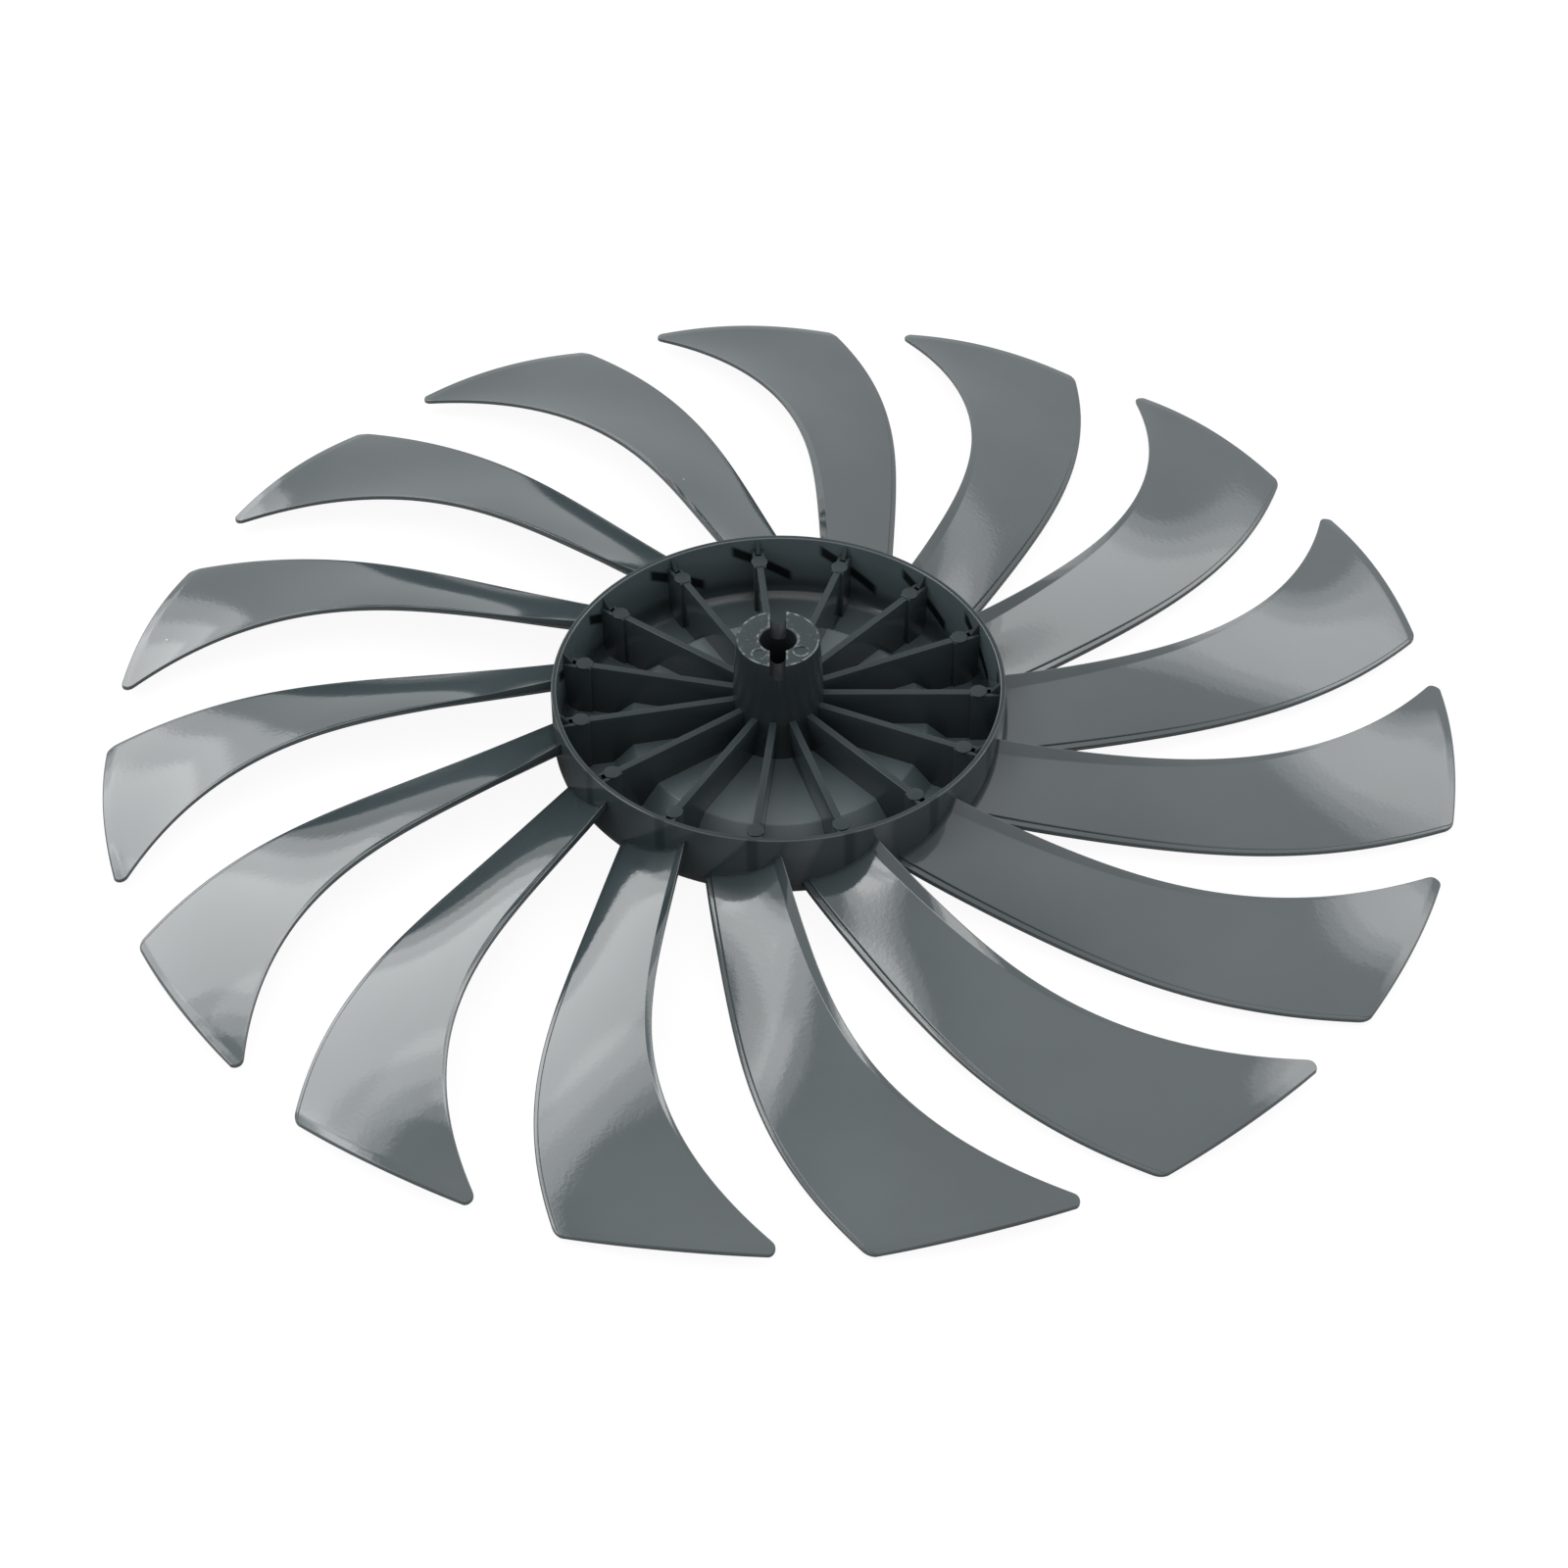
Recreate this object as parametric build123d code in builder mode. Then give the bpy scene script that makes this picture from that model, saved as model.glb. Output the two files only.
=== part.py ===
from build123d import *
import os
from math import comb, cos, radians, sin, tan

# Axial fan impeller: one injection moulding of fifteen swept blades round a ribbed hub cup.
#
# The hub's front face stands on the XY plane, the shaft axis is Z and the open, ribbed side of the
# cup looks up along +Z. Lengths are millimetres and angles are degrees, counted from a rib.

# Wheel
TIP_RADIUS = 150.0
BLADE_COUNT = 15

# Hub cup
HUB_RADIUS = 50.2
HUB_HEIGHT = 19.0
RIM_WALL = 1.2
WALL_DRAFT = 2.0
FLOOR_THICKNESS = 2.8
FRONT_CORNER_RADIUS = 6.5
INNER_CORNER_RADIUS = 3.0

# Raised centre of the hub floor, which leaves the spinner recess on the front
STEP_HEIGHT = 4.4
STEP_TOP_RADIUS = 33.0
STEP_FOOT_RADIUS = 37.5
STEP_EDGE_RADIUS = 1.0

# Shaft boss
BOSS_HEIGHT = 31.7
BOSS_TOP_RADIUS = 9.2
BOSS_BASE_RADIUS = 10.4
BOSS_FLARE_RADIUS = 12.3
BOSS_FLARE_HEIGHT = 4.8
SHAFT_DIAMETER = 8.0
SHAFT_CLEARANCE = 0.05
BORE_LEAD_IN = 0.25
PIN_SLOT_WIDTH = 3.5
PIN_SLOT_DEPTH = 3.8

# Hub ribs, one behind each blade root
RIB_TOP = 16.1
RIB_THICKNESS = 1.6
RIB_BLOCK_THICKNESS = 2.8
RIB_BLOCK_LENGTH = 6.4
FIN_THICKNESS = 1.0
FIN_LENGTH = 2.0
FIN_RIM_DROP = 0.3
PAD_DIAMETER = 3.8
PAD_HEIGHT = 0.3
PAD_TO_WALL = 4.6

# Blade, root to tip: control values of smooth curves over the blade's length.
# The leading edge is the high, concave one; the trailing edge is the low, convex one. A lip turns
# up along the leading edge and a parting ledge steps down along the trailing edge.
LEADING_ANGLES = (7.0, 13.7, 11.9, 20.3, 31.2)
TRAILING_ANGLES = (-12.0, 1.1, 0.3, 6.4, 13.2)
LEADING_HEIGHTS = (15.6, 9.4, 11.6, 3.1)
TRAILING_HEIGHTS = (7.2, 2.3, 4.2, 1.7)
MIDDLE_THICKNESSES = (2.2, 1.6, 1.4)
EDGE_THICKNESSES = (1.6, 1.1, 1.0)
CAMBERS = (-1.6, 3.4, -2.0, 1.7)
LIP_WIDTHS = (2.2, 2.0, 1.2, 0.8)
LIP_RISES = (1.4, 1.2, 0.0, 0.0, 0.0)
LEDGE_WIDTHS = (1.2, 1.2, 0.8, 0.8)
LEDGE_DEPTHS = (0.45, 0.45, 0.1, 0.1)
BLADE_STATIONS = 8
ROOT_OVERLAP = 1.2
TRIM_OVERHANG = 3.0
LEADING_CORNER_RADIUS = 1.7
TRAILING_CORNER_RADIUS = 3.8


def along_blade(values, share):
    """Smooth value at a share of the blade's length, worked out from its control values."""
    order = len(values) - 1
    weights = (comb(order, i) * share**i * (1 - share) ** (order - i) for i in range(order + 1))
    return sum(weight * value for weight, value in zip(weights, values))


def polar_point(radius, angle, height=0.0):
    """Point at a radius and an angle round the shaft axis."""
    return Vector(radius * cos(radians(angle)), radius * sin(radians(angle)), height)


def blade_radius(share):
    """Radius at a share of the blade's length, from the hub wall out to the tip circle."""
    return HUB_RADIUS + share * (TIP_RADIUS - HUB_RADIUS)


def blade_section(share):
    """Sketch the plate section, wider than the blade by an overhang at each edge."""
    radius = blade_radius(share)
    leading = along_blade(LEADING_ANGLES, share)
    trailing = along_blade(TRAILING_ANGLES, share)
    half_angle = radians(leading - trailing) / 2
    middle_angle = (leading + trailing) / 2
    plane = Plane(
        origin=polar_point(radius * cos(half_angle), middle_angle),
        x_dir=polar_point(1, middle_angle + 90),
        z_dir=polar_point(1, middle_angle),
    )
    crest = Vector(radius * sin(half_angle), along_blade(LEADING_HEIGHTS, share))
    lead = crest - Vector(0, along_blade(LIP_RISES, share))
    trail = Vector(-radius * sin(half_angle), along_blade(TRAILING_HEIGHTS, share))
    chord = (lead - trail).normalized()
    up = Vector(-chord.Y, chord.X)
    camber = along_blade(CAMBERS, share)
    half_chord = (lead - trail).length / 2

    def surface_point(along):
        """Point of the main surface at a distance from mid-chord towards the leading edge."""
        middle = (lead + trail) / 2
        return middle + chord * along + up * (camber * (1 - (along / half_chord) ** 2))

    crease = surface_point(half_chord - along_blade(LIP_WIDTHS, share))
    lip_end = crest + (crest - crease).normalized() * TRIM_OVERHANG
    step_top = surface_point(along_blade(LEDGE_WIDTHS, share) - half_chord)
    step_foot = step_top - up * along_blade(LEDGE_DEPTHS, share)
    ledge_end = step_foot + surface_point(-half_chord - TRIM_OVERHANG) - step_top
    edge = up * along_blade(EDGE_THICKNESSES, share)
    heel = surface_point(-half_chord - TRIM_OVERHANG) - edge
    middle_bottom = surface_point(0) - up * along_blade(MIDDLE_THICKNESSES, share)
    with BuildSketch(plane) as section:
        with BuildLine():
            Polyline(ledge_end, step_foot, step_top)
            ThreePointArc(step_top, surface_point(0), crease)
            Polyline(crease, lip_end, lip_end - edge, crease - edge)
            ThreePointArc(crease - edge, middle_bottom, heel)
            Line(heel, ledge_end)
        make_face()
    return section.sketch


def edge_curve(angles, shares):
    """Points of one blade edge in plan, at shares of the blade's length."""
    return [polar_point(blade_radius(share), along_blade(angles, share)) for share in shares]


# ---- Blade: a lofted plate, cut to its plan outline ----
blade_length = TIP_RADIUS - HUB_RADIUS
root_share = -ROOT_OVERLAP / blade_length
past_tip_share = 1 + TRIM_OVERHANG / blade_length
section_shares = [
    root_share + (past_tip_share - root_share) * station / (BLADE_STATIONS - 1)
    for station in range(BLADE_STATIONS)
]
edge_shares = [
    root_share + (1 - root_share) * station / (BLADE_STATIONS - 1) for station in range(BLADE_STATIONS)
]
leading_edge = edge_curve(LEADING_ANGLES, edge_shares)
trailing_edge = edge_curve(TRAILING_ANGLES, edge_shares)
tip_middle = polar_point(TIP_RADIUS, (LEADING_ANGLES[-1] + TRAILING_ANGLES[-1]) / 2)

with BuildPart() as blade:
    loft([blade_section(share) for share in section_shares])
    with BuildSketch(Plane.XY) as outline:
        with BuildLine():
            Spline(leading_edge)
            ThreePointArc(leading_edge[-1], tip_middle, trailing_edge[-1])
            Spline(trailing_edge)
            Line(trailing_edge[0], leading_edge[0])
        make_face()
        fillet(outline.vertices().sort_by_distance(leading_edge[-1])[0], LEADING_CORNER_RADIUS)
        fillet(outline.vertices().sort_by_distance(trailing_edge[-1])[0], TRAILING_CORNER_RADIUS)
    extrude(amount=2 * HUB_HEIGHT, both=True, mode=Mode.INTERSECT)

# ---- Hub cup, floor and boss, turned about the shaft axis ----
recess_top_radius = STEP_TOP_RADIUS - FLOOR_THICKNESS / 2
recess_foot_radius = STEP_FOOT_RADIUS - FLOOR_THICKNESS / 2
inner_rim_radius = HUB_RADIUS - RIM_WALL
wall_taper = tan(radians(WALL_DRAFT))
inner_foot_radius = inner_rim_radius - (HUB_HEIGHT - FLOOR_THICKNESS) * wall_taper
plateau_height = FLOOR_THICKNESS + STEP_HEIGHT
flare_top = plateau_height + BOSS_FLARE_HEIGHT

with BuildSketch(Plane.XZ) as billet_section:
    with BuildLine():
        Line((0, 0), (HUB_RADIUS - FRONT_CORNER_RADIUS, 0))
        RadiusArc(
            (HUB_RADIUS - FRONT_CORNER_RADIUS, 0),
            (HUB_RADIUS, FRONT_CORNER_RADIUS),
            -FRONT_CORNER_RADIUS,
        )
        Polyline(
            (HUB_RADIUS, FRONT_CORNER_RADIUS),
            (HUB_RADIUS, HUB_HEIGHT),
            (0, HUB_HEIGHT),
            (0, 0),
        )
    make_face()

with BuildSketch(Plane.XZ) as cavity_section:
    with BuildLine():
        floor_line = FilletPolyline(
            (inner_rim_radius, HUB_HEIGHT),
            (inner_foot_radius, FLOOR_THICKNESS),
            (STEP_FOOT_RADIUS, FLOOR_THICKNESS),
            (STEP_TOP_RADIUS, plateau_height),
            (BOSS_FLARE_RADIUS, plateau_height),
            radius=(INNER_CORNER_RADIUS, STEP_EDGE_RADIUS, STEP_EDGE_RADIUS),
        )
        Polyline(
            floor_line @ 1,
            (0, plateau_height),
            (0, HUB_HEIGHT),
            floor_line @ 0,
        )
    make_face()

with BuildSketch(Plane.XZ) as boss_section:
    with BuildLine():
        Polyline(
            (0, STEP_HEIGHT + FLOOR_THICKNESS / 2),
            (BOSS_FLARE_RADIUS, STEP_HEIGHT + FLOOR_THICKNESS / 2),
            (BOSS_FLARE_RADIUS, plateau_height),
            (BOSS_BASE_RADIUS, flare_top),
            (BOSS_TOP_RADIUS, BOSS_HEIGHT),
            (0, BOSS_HEIGHT),
            close=True,
        )
    make_face()

bore_radius = SHAFT_DIAMETER / 2 + SHAFT_CLEARANCE

with BuildSketch(Plane.XZ) as bore_section:
    with BuildLine():
        Polyline(
            (0, 0),
            (bore_radius, 0),
            (bore_radius, BOSS_HEIGHT - BORE_LEAD_IN),
            (bore_radius + BORE_LEAD_IN, BOSS_HEIGHT),
            (0, BOSS_HEIGHT),
            close=True,
        )
    make_face()

with BuildSketch(Plane.XZ) as recess_section:
    with BuildLine():
        Polyline(
            (0, 0),
            (recess_foot_radius, 0),
            (recess_top_radius, STEP_HEIGHT),
            (0, STEP_HEIGHT),
            close=True,
        )
    make_face()

# ---- One rib: web, thick outer block, wall fin and ejector pad ----
rib_inner_radius = (SHAFT_DIAMETER / 2 + BOSS_TOP_RADIUS) / 2
wall_middle_radius = HUB_RADIUS - RIM_WALL / 2
wall_at_rib_top = inner_rim_radius - (HUB_HEIGHT - RIB_TOP) * wall_taper
rib_foot = FLOOR_THICKNESS / 2
fin_top = HUB_HEIGHT - FIN_RIM_DROP

with BuildPart() as rib:
    with BuildSketch(Plane.XZ):
        with BuildLine():
            Polyline(
                (rib_inner_radius, STEP_HEIGHT + rib_foot),
                (STEP_TOP_RADIUS, STEP_HEIGHT + rib_foot),
                (STEP_FOOT_RADIUS, rib_foot),
                (inner_foot_radius, rib_foot),
                (wall_middle_radius, RIB_TOP),
                (rib_inner_radius, RIB_TOP),
                close=True,
            )
        make_face()
    extrude(amount=RIB_THICKNESS / 2, both=True)
    with BuildSketch(Plane.XZ):
        with BuildLine():
            Polyline(
                (wall_at_rib_top - RIB_BLOCK_LENGTH, rib_foot),
                (inner_foot_radius, rib_foot),
                (wall_middle_radius, RIB_TOP),
                (wall_at_rib_top - RIB_BLOCK_LENGTH, RIB_TOP),
                close=True,
            )
        make_face()
    extrude(amount=RIB_BLOCK_THICKNESS / 2, both=True)
    with BuildSketch(Plane.XZ):
        with BuildLine():
            Polyline(
                (wall_at_rib_top - FIN_LENGTH, RIB_TOP - FIN_THICKNESS),
                (wall_middle_radius, RIB_TOP - FIN_THICKNESS),
                (wall_middle_radius, fin_top),
                (inner_rim_radius, fin_top),
                (wall_at_rib_top - FIN_LENGTH, RIB_TOP),
                close=True,
            )
        make_face()
    extrude(amount=FIN_THICKNESS / 2, both=True)
    with BuildSketch(Plane.XY.offset(RIB_TOP - PAD_HEIGHT)):
        with Locations((wall_at_rib_top - PAD_TO_WALL, 0)):
            Circle(PAD_DIAMETER / 2)
    extrude(amount=2 * PAD_HEIGHT)

# ---- The moulding ----
with BuildPart() as impeller:
    with PolarLocations(0, BLADE_COUNT):
        add(blade.part)
    add(billet_section.sketch)
    revolve(axis=Axis.Z)
    add(cavity_section.sketch)
    revolve(axis=Axis.Z, mode=Mode.SUBTRACT)
    with PolarLocations(0, BLADE_COUNT):
        add(rib.part)
    add(boss_section.sketch)
    revolve(axis=Axis.Z)
    add(recess_section.sketch)
    revolve(axis=Axis.Z, mode=Mode.SUBTRACT)
    add(bore_section.sketch)
    revolve(axis=Axis.Z, mode=Mode.SUBTRACT)
    with BuildSketch(Plane.XZ):
        with Locations((0, BOSS_HEIGHT)):
            Rectangle(PIN_SLOT_WIDTH, 2 * (PIN_SLOT_DEPTH - PIN_SLOT_WIDTH / 2))
        with Locations((0, BOSS_HEIGHT - PIN_SLOT_DEPTH + PIN_SLOT_WIDTH / 2)):
            Circle(PIN_SLOT_WIDTH / 2)
    extrude(amount=2 * BOSS_TOP_RADIUS, both=True, mode=Mode.SUBTRACT)

impeller.part.label = "impeller"

os.makedirs("parts", exist_ok=True)
export_step(impeller.part, "parts/impeller.step")
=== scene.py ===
from collections import namedtuple
from math import cos, pi, radians, sin, tan

import bmesh
import bpy
import numpy as np
from mathutils import Matrix, Vector


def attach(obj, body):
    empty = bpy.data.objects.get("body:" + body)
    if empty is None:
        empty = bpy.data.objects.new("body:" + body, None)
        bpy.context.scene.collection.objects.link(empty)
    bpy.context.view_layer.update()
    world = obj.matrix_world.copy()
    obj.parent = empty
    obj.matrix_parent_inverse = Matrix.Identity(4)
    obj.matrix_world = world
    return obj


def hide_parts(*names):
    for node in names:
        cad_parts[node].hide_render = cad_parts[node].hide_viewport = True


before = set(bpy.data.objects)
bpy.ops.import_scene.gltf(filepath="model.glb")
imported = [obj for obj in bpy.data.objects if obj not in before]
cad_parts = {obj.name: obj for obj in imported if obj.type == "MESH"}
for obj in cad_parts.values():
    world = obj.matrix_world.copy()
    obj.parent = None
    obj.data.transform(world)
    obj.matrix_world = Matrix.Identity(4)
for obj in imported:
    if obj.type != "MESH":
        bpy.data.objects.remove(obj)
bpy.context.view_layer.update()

# ---- Blades ----
# Fifteen swept sickle blades, moulded in one shot with the hub from smoke-grey glossy plastic.
# Each is a thin twisted plate, hollow at its root and cambered outwards. A lip turns up along its
# high, concave leading edge, a parting ledge steps down along its trailing edge, the tip is eased.
blade_count = 15
tip_radius = 0.150
hub_radius = 0.0502
blade_length = tip_radius - hub_radius
blade_embed = 0.0008
leading_angles = (7.0, 13.7, 11.9, 20.3, 31.2)
trailing_angles = (-12.0, 1.1, 0.3, 6.4, 13.2)
leading_heights = (0.0156, 0.0094, 0.0116, 0.0031)
trailing_heights = (0.0072, 0.0023, 0.0042, 0.0017)
middle_thicknesses = (0.0022, 0.0016, 0.0014)
edge_thicknesses = (0.0016, 0.0011, 0.0010)
cambers = (-0.0016, 0.0034, -0.0020, 0.0017)
lip_widths = (0.0022, 0.0020, 0.0012, 0.0008)
lip_rises = (0.0014, 0.0012, 0.0, 0.0, 0.0)
ledge_widths = (0.0012, 0.0012, 0.0008, 0.0008)
ledge_depths = (0.00045, 0.00030, 0.00005, 0.00003)
ledge_blend = 0.00003
ledge_round = 0.0002
leading_corner = 0.0017
trailing_corner = 0.0038
edge_round = 0.00024
tip_ease_width = 0.0019
tip_ease_slope = 0.12
corner_search_reach = 8
corner_search_turn = 0.12
corner_search_steps = 400
share_rounds = 12
bulge_rounds = 6

Section = namedtuple("Section", "share place across main slope level crease rise step")


def along_blade(values, share):
    """Smooth value at shares of the blade's length, worked out from its control values."""
    order = len(values) - 1
    total = 0.0
    choose = 1.0
    for step, value in enumerate(values):
        total = total + choose * share**step * (1 - share) ** (order - step) * value
        choose = choose * (order - step) / (step + 1)
    return total


def smooth_step(low, high, value):
    """Value from 0 to 1 that eases from one limit to the other."""
    share = np.clip((value - low) / (high - low), 0, 1)
    return share * share * (3 - 2 * share)


def edge_angle(angles, radius):
    """Angle, in radians, of a blade edge at a radius, before its tip corner is rounded."""
    return np.radians(along_blade(angles, (radius - hub_radius) / blade_length))


def corner_centre(angles, corner, side):
    """Angle of the centre of a tip corner's rounding, and the radius where it leaves the edge."""
    radii = np.linspace(tip_radius - corner_search_reach * corner, tip_radius, corner_search_steps)
    edge = radii * np.exp(1j * edge_angle(angles, radii))
    turns = np.linspace(0, corner_search_turn, corner_search_steps)
    centres = (tip_radius - corner) * np.exp(1j * (edge_angle(angles, tip_radius) - side * turns))
    gaps = np.abs(centres[:, None] - edge[None, :]).min(axis=1)
    clear = np.argmax(gaps >= corner)
    start = radii[np.abs(centres[clear] - edge).argmin()]
    return edge_angle(angles, tip_radius) - side * turns[clear], start


def outline_angle(angles, corner, side, radius):
    """Angle of the blade's outline at a radius, its rounded tip corner included."""
    centre, start = corner_centre(angles, corner, side)
    reach = tip_radius - corner
    swing = (radius**2 + reach**2 - corner**2) / (2 * radius * reach)
    rounded = centre + side * np.arccos(np.clip(swing, -1, 1))
    return np.where(radius > start, rounded, edge_angle(angles, radius))


def rolled(distance, size):
    """Drop of a quarter-round edge at a distance inside it."""
    inside = np.clip(size - distance, 0, size)
    return size - np.sqrt(size**2 - inside**2)


def blade_section(plan):
    """Section measures at plan points x + iy: the lines its top and under side are drawn from."""
    share = (np.abs(plan) - hub_radius) / blade_length
    for _ in range(share_rounds):
        radius = hub_radius + share * blade_length
        lead = np.radians(along_blade(leading_angles, share))
        trail = np.radians(along_blade(trailing_angles, share))
        local = plan * np.exp(-0.5j * (lead + trail))
        share = share + (local.real - radius * np.cos((lead - trail) / 2)) / blade_length
    reach = radius * np.sin((lead - trail) / 2)
    low = along_blade(trailing_heights, share)
    lip_rise = along_blade(lip_rises, share)
    high = along_blade(leading_heights, share) - lip_rise
    half_chord = np.hypot(reach, (high - low) / 2)
    slope = (high - low) / 2 / half_chord
    level = reach / half_chord
    camber = along_blade(cambers, share)

    def surface(along):
        """Place and height of the main surface at a distance from mid-chord."""
        bulge = camber * (1 - (along / half_chord) ** 2)
        return along * level - bulge * slope, (high + low) / 2 + along * slope + bulge * level

    along = local.imag / level
    for _ in range(bulge_rounds):
        along = along + (local.imag - surface(along)[0]) / level
    crease = surface(half_chord - along_blade(lip_widths, share))
    step = surface(along_blade(ledge_widths, share) - half_chord)
    rise = (high + lip_rise - crease[1]) / (reach - crease[0])
    across = along / half_chord
    main = surface(along)[1]
    return Section(share, local.imag, across, main, slope, level, crease, rise, step)


def blade_surface(plan):
    """Heights of the blade's top and under side at plan points x + iy."""
    cut = blade_section(plan)
    edge = along_blade(edge_thicknesses, cut.share)
    middle = along_blade(middle_thicknesses, cut.share)
    thickness = edge + (middle - edge) * (1 - cut.across**2)
    past_crease = cut.place - cut.crease[0]
    past_under = past_crease - edge * cut.slope
    lip = cut.crease[1] + cut.rise * past_crease
    under_lip = cut.crease[1] + cut.rise * past_under - edge * cut.level
    top = np.where(past_crease > 0, lip, cut.main)
    bottom = np.where(past_under > 0, under_lip, cut.main - thickness / cut.level)
    ledge = along_blade(ledge_depths, cut.share) / cut.level
    ledge = ledge * smooth_step(-ledge_blend, ledge_blend, cut.step[0] - cut.place)
    return top - ledge, bottom


# The mesh is a grid of rows from root to tip and columns from the trailing to the leading edge.
# They stand close together, at these steps in millimetres, where the blade rounds or steps.
tip_steps = np.array([
    0, 0.02, 0.058, 0.12, 0.22, 0.36, 0.51, 0.89, 1.36, 1.75, 2.1, 2.6, 3.2, 3.8
]) / 1000
rim_steps = np.array([0, 0.03, 0.09, 0.16, 0.24]) / 1000
around_step = np.array([-0.12, -0.04, 0.04, 0.07, 0.13, 0.22, 0.34]) / 1000
around_crease = np.array([-0.30, -0.12, -0.04, 0.04, 0.12, 0.30]) / 1000
inner_rows = 50
outer_band = 0.0045
middle_columns = 24
narrow_row = 0.010
strip_guess = 0.001
strip_rounds = 8
narrowest_strip = 0.0006
widest_strip = 0.004

row_radii = np.concatenate([
    np.linspace(hub_radius - blade_embed, tip_radius - outer_band, inner_rows),
    (tip_radius - tip_steps)[::-1],
])[:, None]
low_angle = outline_angle(trailing_angles, trailing_corner, -1, row_radii)
high_angle = outline_angle(leading_angles, leading_corner, 1, row_radii)
width = row_radii * (high_angle - low_angle)
lip_width = np.full_like(row_radii, strip_guess)
ledge_width = np.full_like(row_radii, strip_guess)
for _ in range(strip_rounds):
    cut = blade_section(row_radii * np.exp(1j * (high_angle - lip_width / row_radii)))
    lip_width = lip_width + cut.place - cut.crease[0]
    cut = blade_section(row_radii * np.exp(1j * (low_angle + ledge_width / row_radii)))
    ledge_width = ledge_width + cut.step[0] - cut.place
lip_width = np.clip(lip_width, narrowest_strip, widest_strip)
ledge_width = np.clip(ledge_width, narrowest_strip, widest_strip)
rim_steps = rim_steps + np.zeros_like(row_radii)
squeeze = np.minimum(1, width / narrow_row)
low_part = np.concatenate([rim_steps, ledge_width + around_step], axis=1) * squeeze
high_part = np.concatenate([rim_steps, lip_width + around_crease], axis=1)
high_part = width - high_part[:, ::-1] * squeeze
between = np.linspace(0, 1, middle_columns)[1:-1][None, :]
middle_part = low_part[:, -1:] + (high_part[:, :1] - low_part[:, -1:]) * between
across_row = np.concatenate([low_part, middle_part, high_part], axis=1)
plan = row_radii * np.exp(1j * (low_angle + across_row / row_radii))
top, bottom = blade_surface(plan)
from_tip = tip_radius - row_radii + np.zeros_like(across_row)
from_lead = width - across_row
edge_drop = np.maximum.reduce([
    rolled(from_tip, edge_round), rolled(from_lead, edge_round), rolled(across_row, edge_round)
])
past_ledge = across_row - ledge_width
step_drop = np.where(past_ledge > 0, rolled(past_ledge, edge_round), 0)
tip_ease = tip_ease_slope * np.clip(tip_ease_width - from_tip, 0, None)
bottom = bottom + edge_drop
top = top - np.maximum(edge_drop, np.minimum(step_drop, ledge_round)) - tip_ease
rows, columns = plan.shape
under = rows * columns
points = []
for side in (top, bottom):
    points += [(p.real, p.imag, z) for p, z in zip(plan.ravel(), side.ravel())]
faces = []
for row in range(rows - 1):
    for column in range(columns - 1):
        near = row * columns + column
        far = near + columns
        faces.append((near, far, far + 1, near + 1))
        faces.append((under + near + 1, under + far + 1, under + far, under + near))
    near, far = row * columns, (row + 1) * columns
    faces.append((near, under + near, under + far, far))
    near, far = near + columns - 1, far + columns - 1
    faces.append((far, under + far, under + near, near))
for column in range(columns - 1):
    root, tip = column, (rows - 1) * columns + column
    faces.append((root, root + 1, under + root + 1, under + root))
    faces.append((tip + 1, tip, under + tip, under + tip + 1))


def face_outwards(mesh):
    """Point the faces of a closed mesh outwards."""
    shell = bmesh.new()
    shell.from_mesh(mesh)
    bmesh.ops.recalc_face_normals(shell, faces=shell.faces)
    shell.to_mesh(mesh)
    shell.free()


def add_object(name, data):
    """Put a mesh, a lamp or a camera into the scene."""
    added = bpy.data.objects.new(name, data)
    bpy.context.collection.objects.link(added)
    return added


def settle(piece):
    """Turn what a piece's modifiers make into its plain mesh."""
    evaluated = piece.evaluated_get(bpy.context.evaluated_depsgraph_get())
    piece.data = bpy.data.meshes.new_from_object(evaluated)
    piece.modifiers.clear()


def mottle(tree, scale, detail, roughness=0.5):
    """Add soft noise that is fixed to the piece, and return its strength."""
    place = tree.nodes.new("ShaderNodeTexCoord")
    noise = tree.nodes.new("ShaderNodeTexNoise")
    noise.inputs["Scale"].default_value = scale
    noise.inputs["Detail"].default_value = detail
    noise.inputs["Roughness"].default_value = roughness
    tree.links.new(place.outputs["Object"], noise.inputs["Vector"])
    return noise.outputs["Fac"]


def stretch(tree, value, start, finish, low=0.0, high=1.0, curve="LINEAR"):
    """Add a node that takes a value's run from start to finish onto low to high."""
    node = tree.nodes.new("ShaderNodeMapRange")
    node.interpolation_type = curve
    node.inputs["From Min"].default_value = start
    node.inputs["From Max"].default_value = finish
    node.inputs["To Min"].default_value = low
    node.inputs["To Max"].default_value = high
    tree.links.new(value, node.inputs["Value"])
    return node.outputs["Result"]


def tint_over(material, amount, colour):
    """Lay a colour over a material's present one, by an amount that varies over the piece."""
    nodes, links = material.node_tree.nodes, material.node_tree.links
    base = nodes["Principled BSDF"].inputs["Base Color"]
    mixed = nodes.new("ShaderNodeMix")
    mixed.data_type = "RGBA"
    mixed.inputs["B"].default_value = (*colour, 1)
    links.new(amount, mixed.inputs["Factor"])
    links.new(base.links[0].from_socket, mixed.inputs["A"])
    links.new(mixed.outputs["Result"], base)


plastic_ior = 1.5
smoke_greys = ((0.024, 0.033, 0.036), (0.033, 0.043, 0.047))
dust_colour = (0.22, 0.24, 0.25)
dust_scale = 38
speck_edge = 0.013
speck_core = 0.007
noise_low = 0.3
noise_high = 0.7
gloss_spread = 0.04
grain_strength = 0.05
grain_height = 0.0002


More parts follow.
